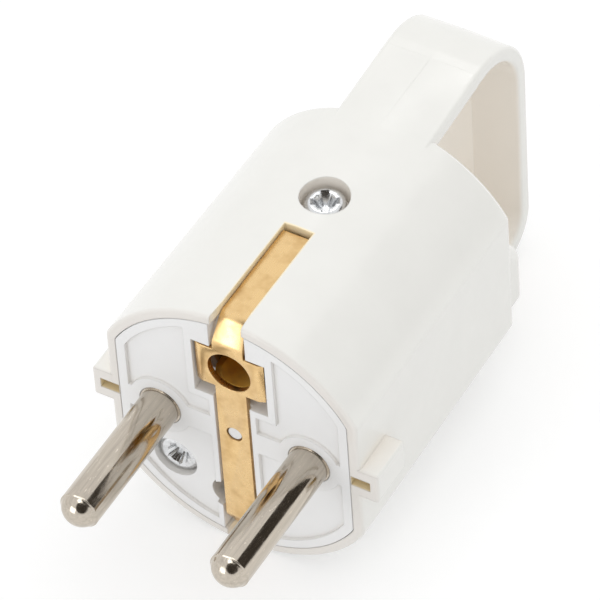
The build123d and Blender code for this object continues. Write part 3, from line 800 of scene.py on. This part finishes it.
class PLUG_OT_earth_strip(bpy.types.Operator):
    """Fold the brass earth strip over the face, with its wings and its holes"""
    bl_idname = "plug.earth_strip"
    bl_label = "Earth Strip"

    HOLE_SEGMENTS = 72
    FOLD_SEGMENTS = 6
    LIP_SEGMENTS = 4
    # Rounding into the wings' lips, in millimetres
    LIP_ROLL = 0.14

    def execute(self, context):
        sizes = sizes_mm(context.scene.plug_strip)
        low, high = box_mm("earth_strip")
        strip = self.folded_sheet(sizes, low, high)
        self.add_wings(strip, sizes, high)
        everything = strip.verts[:] + strip.edges[:] + strip.faces[:]
        bmesh.ops.solidify(strip, geom=everything, thickness=sizes["thickness"])
        bmesh.ops.recalc_face_normals(strip, faces=strip.faces)
        through = 4 * sizes["thickness"]
        for height, radius in ((sizes["earth_height"], sizes["earth_radius"]), (0.0, sizes["pip_radius"])):
            strip = cut(strip, rod((0, low.y, height), radius, through, "+Y", self.HOLE_SEGMENTS))
        soften(strip, sizes["edge"], 2, 40.0)
        finish_piece(strip, "earth_strip_folded", "earth_brass", "earth_strip")
        return {"FINISHED"}

    def folded_sheet(self, sizes, low, high):
        """The strip's outer surface, bent along its length."""
        run = sizes["run_half_width"]
        face = sizes["face_half_width"]
        bend = sizes["bend_depth"]
        foot = sizes["bend_height"]
        bm = bmesh.new()
        left_side = [
            (-run, high.y, high.z), (-run, bend, high.z), (-face, low.y, foot),
            (-face, low.y, -foot), (-run, bend, low.z), (-run, high.y, low.z),
        ]
        points = [bm.verts.new(place) for place in left_side]
        edges = [bm.edges.new(pair) for pair in zip(points, points[1:])]
        grown = bmesh.ops.extrude_edge_only(bm, edges=edges)
        bmesh.ops.scale(bm, vec=(-1, 1, 1), verts=new_verts(grown))
        bmesh.ops.recalc_face_normals(bm, faces=bm.faces)
        front = max(bm.faces, key=lambda part: part.calc_area())
        if front.normal.y > 0:
            bmesh.ops.reverse_faces(bm, faces=bm.faces)
        for depth, width in ((bend, sizes["run_roll"]), (low.y, sizes["face_roll"])):
            folds = [
                edge for edge in bm.edges
                if len(edge.link_faces) == 2 and all(abs(end.co.y - depth) < MERGE for end in edge.verts)
            ]
            roll(bm, folds, width, self.FOLD_SEGMENTS)
        return bm

    def add_wings(self, bm, sizes, high):
        """The two wings beside the earth hole, each with a lip that leans back."""
        face = sizes["face_half_width"]
        for share in (-1, 1):
            level = sizes["earth_height"] + share * sizes["wing_half_height"]
            everything = bm.verts[:] + bm.edges[:] + bm.faces[:]
            bmesh.ops.bisect_plane(bm, geom=everything, plane_co=(0, 0, level), plane_no=(0, 0, 1))
        reach = sizes["wing_half_width"] - face
        lip = high.x - sizes["wing_half_width"]
        for side in (-1, 1):
            root = [
                edge for edge in bm.edges
                if edge.is_boundary
                and all(abs(end.co.x - side * face) < MERGE for end in edge.verts)
                and abs((edge.verts[0].co.z + edge.verts[1].co.z) / 2 - sizes["earth_height"]) < MERGE
            ]
            grown = bmesh.ops.extrude_edge_only(bm, edges=root)
            ends = new_verts(grown)
            bmesh.ops.translate(bm, vec=(side * reach, 0, 0), verts=ends)
            fold = [edge for edge in bm.edges if all(end in ends for end in edge.verts)]
            grown = bmesh.ops.extrude_edge_only(bm, edges=fold)
            bmesh.ops.translate(bm, vec=(side * lip, sizes["lip_depth"], 0), verts=new_verts(grown))
            roll(bm, [edge for edge in fold if edge.is_valid], self.LIP_ROLL, self.LIP_SEGMENTS)


class PLUG_OT_pins(bpy.types.Operator):
    """Turn the two pins, with domed tips and wire terminals"""
    bl_idname = "plug.pins"
    bl_label = "Pins"

    SEGMENTS = 96
    TIP_STEPS = 14
    SMOOTH_ANGLE = 20.0

    def execute(self, context):
        sizes = sizes_mm(context.scene.plug_pins)
        for node in PINS:
            low, high = box_mm(node)
            pin = self.turned_pin(sizes, low, high)
            middle = (low.x + high.x) / 2
            bmesh.ops.transform(pin, matrix=Matrix.Translation((middle, 0, 0)) @ TURNS["+Y"], verts=pin.verts)
            flat = box_between((low.x, sizes["flat_start"], sizes["flat_height"]), high + Vector((0, 1, 1)))
            pin = cut(pin, flat)
            hole_place = (middle, high.y - sizes["screw_inset"], high.z / 2)
            pin = cut(pin, rod(hole_place, sizes["screw_radius"], high.z, "+Z"))
            finish_piece(pin, node + "_turned", "pin_plating", node, self.SMOOTH_ANGLE)
        return {"FINISHED"}

    def turned_pin(self, sizes, low, high):
        """A pin along Z: tip, shank, collar and the terminal with its wire bore."""
        radius = sizes["radius"]
        foot = sizes["cap_radius"]
        cap = sizes["cap_height"]
        shank = sizes["shank_radius"]
        front = sizes["collar_front"]
        back = sizes["collar_back"]
        collar = (high.x - low.x) / 2
        terminal = sizes["terminal_radius"]
        wire = sizes["wire_radius"]
        wire_end = high.y - sizes["wire_depth"]
        ball = (foot ** 2 + cap ** 2) / (2 * cap)
        spread = math.asin(foot / ball)
        angles = [spread * step / self.TIP_STEPS for step in range(self.TIP_STEPS + 1)]
        tip = [(ball * math.sin(angle), low.y + ball * (1 - math.cos(angle))) for angle in angles]
        tip_end = low.y + cap + sizes["cap_step"]
        # Rings close to both ends keep the shading of the long faces straight
        hold = 5 * sizes["edge"]
        pin = turned(tip + [
            (radius, tip_end), (radius, tip_end + hold), (radius, -hold), (radius, 0), (shank, 0),
            (shank, front), (collar, front), (collar, back), (terminal, back),
            (terminal, high.y), (wire, high.y), (wire, wire_end), (0, wire_end),
        ], self.SEGMENTS)
        soften(pin, sizes["edge"], 2, 20.0, lambda spot: spot.z < MERGE)
        return pin


class PLUG_OT_screws(bpy.types.Operator):
    """Turn the pan-head screws and press in their cross recesses"""
    bl_idname = "plug.screws"
    bl_label = "Screws"

    # Each screw's head direction and the turn of its recess in degrees
    SCREWS = {
        "housing_screw": ("+Z", 30.0),
        "carrier_screw_left": ("-Y", 20.0),
        "carrier_screw_right": ("+Y", 65.0),
        "earth_terminal_screw": ("+Y", 10.0),
        "line_terminal_screw": ("+Z", 50.0),
        "neutral_terminal_screw": ("+Z", 5.0),
        "cord_clamp_screw_left": ("+Z", 35.0),
        "cord_clamp_screw_right": ("+Z", 75.0),
    }
    # Parts of the recess as shares of its reach
    HUB_FOOT = 0.36
    HUB_TOP = 0.80
    WING_HALF = 0.29
    RIB_HALF = 0.12
    # Feet of its bars as shares of their tops, and the ribs' depth as a share of the whole depth
    WING_FOOT = 0.42
    RIB_FOOT = 0.5
    RIB_DEPTH = 0.75
    HUB_SIDES = 8
    # Lengths in millimetres
    POINT = 0.35
    HEAD_ROUND = 0.16
    RECESS_EDGE = 0.05
    TOOL_RISE = 0.05

    def execute(self, context):
        sizes = sizes_mm(context.scene.plug_screws)
        for node, (way, turn) in self.SCREWS.items():
            low, high = box_mm(node)
            axis = "XYZ".index(way[1])
            head_radius = (high.x - low.x) / 2
            length = (high - low)[axis]
            screw = self.pan_screw(sizes, head_radius, length, math.radians(turn))
            top = (low + high) / 2
            top[axis] = high[axis] if way[0] == "+" else low[axis]
            bmesh.ops.transform(screw, matrix=Matrix.Translation(top) @ TURNS[way], verts=screw.verts)
            finish_piece(screw, node + "_turned", "screw_steel", node)
        return {"FINISHED"}

    def pan_screw(self, sizes, head_radius, length, turn):
        """A screw that hangs down from the top of its head at the origin."""
        head = sizes["head_height"]
        drop = sizes["head_drop"]
        shank = sizes["shank_radius"]
        flat = head_radius - sizes["head_edge"]
        screw = turned([
            (0, 0), (flat, 0), (head_radius, -drop), (head_radius, -head), (shank, -head),
            (shank, self.POINT - length), (shank - self.POINT, -length), (0, -length),
        ])
        soften(screw, self.HEAD_ROUND, 3, 20.0, lambda spot: spot.z > -drop - MERGE)
        deep = -sizes["recess_depth"]
        reach = sizes["recess_reach"]
        rise = self.TOOL_RISE
        middle = (0, 0, (deep + rise) / 2)
        hub = rod(middle, self.HUB_FOOT * reach, rise - deep, "+Z", self.HUB_SIDES, self.HUB_TOP * reach)
        screw = cut(screw, hub)
        for quarter in (0, math.pi / 2):
            wing = tapered_bar(reach, self.WING_HALF * reach, self.WING_FOOT, deep, rise, turn + quarter)
            screw = cut(screw, wing)
            rib = tapered_bar(
                self.HUB_TOP * reach, self.RIB_HALF * reach, self.RIB_FOOT, self.RIB_DEPTH * deep, rise,
                turn + quarter + math.pi / 4)
            screw = cut(screw, rib)
        inner = flat - self.RECESS_EDGE
        soften(screw, self.RECESS_EDGE, 2, 25.0, lambda spot: spot.z > -MERGE and spot.xy.length < inner)
        return screw


def camera_axes(settings):
    """The camera's right, up and back directions."""
    turn = settings.azimuth
    rise = settings.elevation
    back = Vector((math.sin(turn) * math.cos(rise), -math.cos(turn) * math.cos(rise), math.sin(rise)))
    level = Vector((math.cos(turn), math.sin(turn), 0.0))
    upright = back.cross(level)
    right = level * math.cos(settings.roll) + upright * math.sin(settings.roll)
    up = upright * math.cos(settings.roll) - level * math.sin(settings.roll)
    return right, up, back


def soft_box(name, place, aim, size, power):
    """A square area light at a place, turned towards a point."""
    light = bpy.data.lights.new(name, "AREA")
    light.energy = power
    light.size = size
    lamp = bpy.data.objects.new(name, light)
    lamp.location = place
    lamp.rotation_euler = (aim - place).to_track_quat("-Z", "Y").to_euler()
    bpy.context.scene.collection.objects.link(lamp)
    return lamp


def light_only(lamp, things):
    """Lets a lamp light the given things alone."""
    lit = bpy.data.collections.new("Lit by " + lamp.name)
    for thing in things:
        lit.objects.link(thing)
    lamp.light_linking.receiver_collection = lit


class PLUG_OT_stage(bpy.types.Operator):
    """Build the white floor, the soft light and the camera"""
    bl_idname = "plug.stage"
    bl_label = "Stage"

    # Each soft box's place from the plug's middle, its width and the setting of its power
    SOFT_BOXES = {
        "Overhead soft box": ((0.06, 0.10, 0.60), 0.7, "key"),
        "Front soft box": ((-0.22, -0.55, 0.10), 0.3, "fill"),
        "High back soft box": ((-0.30, 0.41, 0.75), 0.20, "back"),
        "Tip soft box": ((0.03, -0.06, 0.62), 0.5, "tips"),
        "Bend soft box": ((-0.20, -0.50, 0.09), 0.20, "bend"),
    }
    # The floor's half width, and its white and glow as light and as it is seen
    FLOOR_HALF = 3.0
    FLOOR_WHITE = 0.93
    FLOOR_SEEN_WHITE = 0.60
    FLOOR_SEEN_GLOW = 0.44

    def execute(self, context):
        scene = context.scene
        settings = scene.plug_stage
        self.add_world(scene, settings)
        self.add_floor()
        self.add_dark_cards(settings)
        self.add_soft_boxes(settings)
        self.add_camera(scene, settings)
        scene.view_settings.view_transform = "Standard"
        return {"FINISHED"}

    def add_world(self, scene, settings):
        """White all round, a little dimmer as light than it is to look at."""
        world = bpy.data.worlds.new("Studio")
        world.use_nodes = True
        tree = world.node_tree
        backdrop = next(node for node in tree.nodes if node.type == "BACKGROUND")
        strength = ramp(tree, seen_directly(tree), settings.sky, 1.0, 0.0, 1.0)
        set_inputs(tree, backdrop, Color=shaded(WHITE), Strength=strength)
        scene.world = world

    def add_floor(self):
        """A white floor that keeps the plug's shadow."""
        bm = bmesh.new()
        bmesh.ops.create_grid(bm, x_segments=1, y_segments=1, size=self.FLOOR_HALF)
        bmesh.ops.translate(bm, vec=(0, 0, CAD_BOX[0].z), verts=bm.verts)
        floor = mesh_object(bm, "Floor")
        material, tree, shader = new_material("White sweep")
        seen = seen_directly(tree)
        paper = blend_colour(
            tree, seen, shaded(WHITE, self.FLOOR_WHITE), shaded(WHITE, self.FLOOR_SEEN_WHITE))
        glow = ramp(tree, seen, 0.0, self.FLOOR_SEEN_GLOW, 0.0, 1.0)
        set_inputs(
            tree, shader, Base_Color=paper, Roughness=0.9, Emission_Color=shaded(WHITE),
            Emission_Strength=glow)
        floor.data.materials.append(material)

    def add_dark_cards(self, settings):
        """Dark round cards high on the right and round the camera, seen only in reflections."""
        material, tree, shader = new_material("Dark cloth")
        set_inputs(tree, shader, Base_Color=(0.06, 0.05, 0.04, 1.0), Roughness=1.0)
        right, up, back = camera_axes(settings)
        # Each card's direction, distance and radius
        cards = {
            "High side card": (Vector((0.678, 0.576, 0.457)), 1.2, 0.54),
            "Camera card": (0.98 * back - 0.17 * up - 0.05 * right, 1.0, 0.62),
        }
        for name, (way, distance, radius) in cards.items():
            place = Matrix.Translation(way * distance) @ way.to_track_quat("Z", "Y").to_matrix().to_4x4()
            bm = bmesh.new()
            bmesh.ops.create_circle(bm, cap_ends=True, segments=48, radius=radius, matrix=place)
            card = mesh_object(bm, name)
            card.data.materials.append(material)
            card.visible_camera = False
            card.visible_diffuse = False
            card.visible_shadow = False

    def add_soft_boxes(self, settings):
        """The lights, of which three light chosen pieces alone."""
        centre = (CAD_BOX[0] + CAD_BOX[1]) / 2
        lamps = {
            name: soft_box(name, centre + Vector(way), centre, size, getattr(settings, power))
            for name, (way, size, power) in self.SOFT_BOXES.items()
        }
        lamps["Overhead soft box"].visible_glossy = False
        screws = [bpy.data.objects[node + "_turned"] for node in PLUG_OT_screws.SCREWS]
        pins = [bpy.data.objects[node + "_turned"] for node in PINS]
        light_only(lamps["High back soft box"], [NODES["housing"], *screws])
        light_only(lamps["Tip soft box"], pins)
        light_only(lamps["Bend soft box"], [bpy.data.objects["earth_strip_folded"]])

    def add_camera(self, scene, settings):
        """The camera, as fitted to the photograph."""
        right, up, back = camera_axes(settings)
        data = bpy.data.cameras.new("Camera")
        data.lens = settings.lens
        data.sensor_width = 36.0
        data.clip_start = 0.01
        camera = bpy.data.objects.new("Camera", data)
        place = right * settings.right + up * settings.up + back * settings.distance
        turn = Matrix((right, up, back)).transposed().to_4x4()
        camera.matrix_world = Matrix.Translation(place) @ turn
        scene.collection.objects.link(camera)
        scene.camera = camera


class PLUG_PT_sidebar(bpy.types.Panel):
    """The plug's settings and steps"""
    bl_idname = "PLUG_PT_sidebar"
    bl_label = "Earthed Plug"
    bl_space_type = "VIEW_3D"
    bl_region_type = "UI"
    bl_category = "Plug"

    def draw(self, context):
        for name in SETTINGS:
            group = getattr(context.scene, name)
            column = self.layout.column()
            for field in group.bl_rna.properties:
                if not field.is_readonly and field.identifier != "name":
                    column.prop(group, field.identifier)
        for step in STEPS:
            self.layout.operator(step.bl_idname)


SETTINGS = {
    "plug_finish": FinishSettings,
    "plug_strip": StripSettings,
    "plug_pins": PinSettings,
    "plug_screws": ScrewSettings,
    "plug_stage": StageSettings,
}
STEPS = (PLUG_OT_carried_over, PLUG_OT_earth_strip, PLUG_OT_pins, PLUG_OT_screws, PLUG_OT_stage)


def register():
    for kind in (*SETTINGS.values(), *STEPS, PLUG_PT_sidebar):
        bpy.utils.register_class(kind)
    for name, kind in SETTINGS.items():
        setattr(bpy.types.Scene, name, bpy.props.PointerProperty(type=kind))


def unregister():
    for name in SETTINGS:
        delattr(bpy.types.Scene, name)
    for kind in (PLUG_PT_sidebar, *reversed(STEPS), *SETTINGS.values()):
        bpy.utils.unregister_class(kind)


def main():
    register()
    for step in STEPS:
        group, name = step.bl_idname.split(".")
        getattr(getattr(bpy.ops, group), name)()


if __name__ == "__main__":
    main()
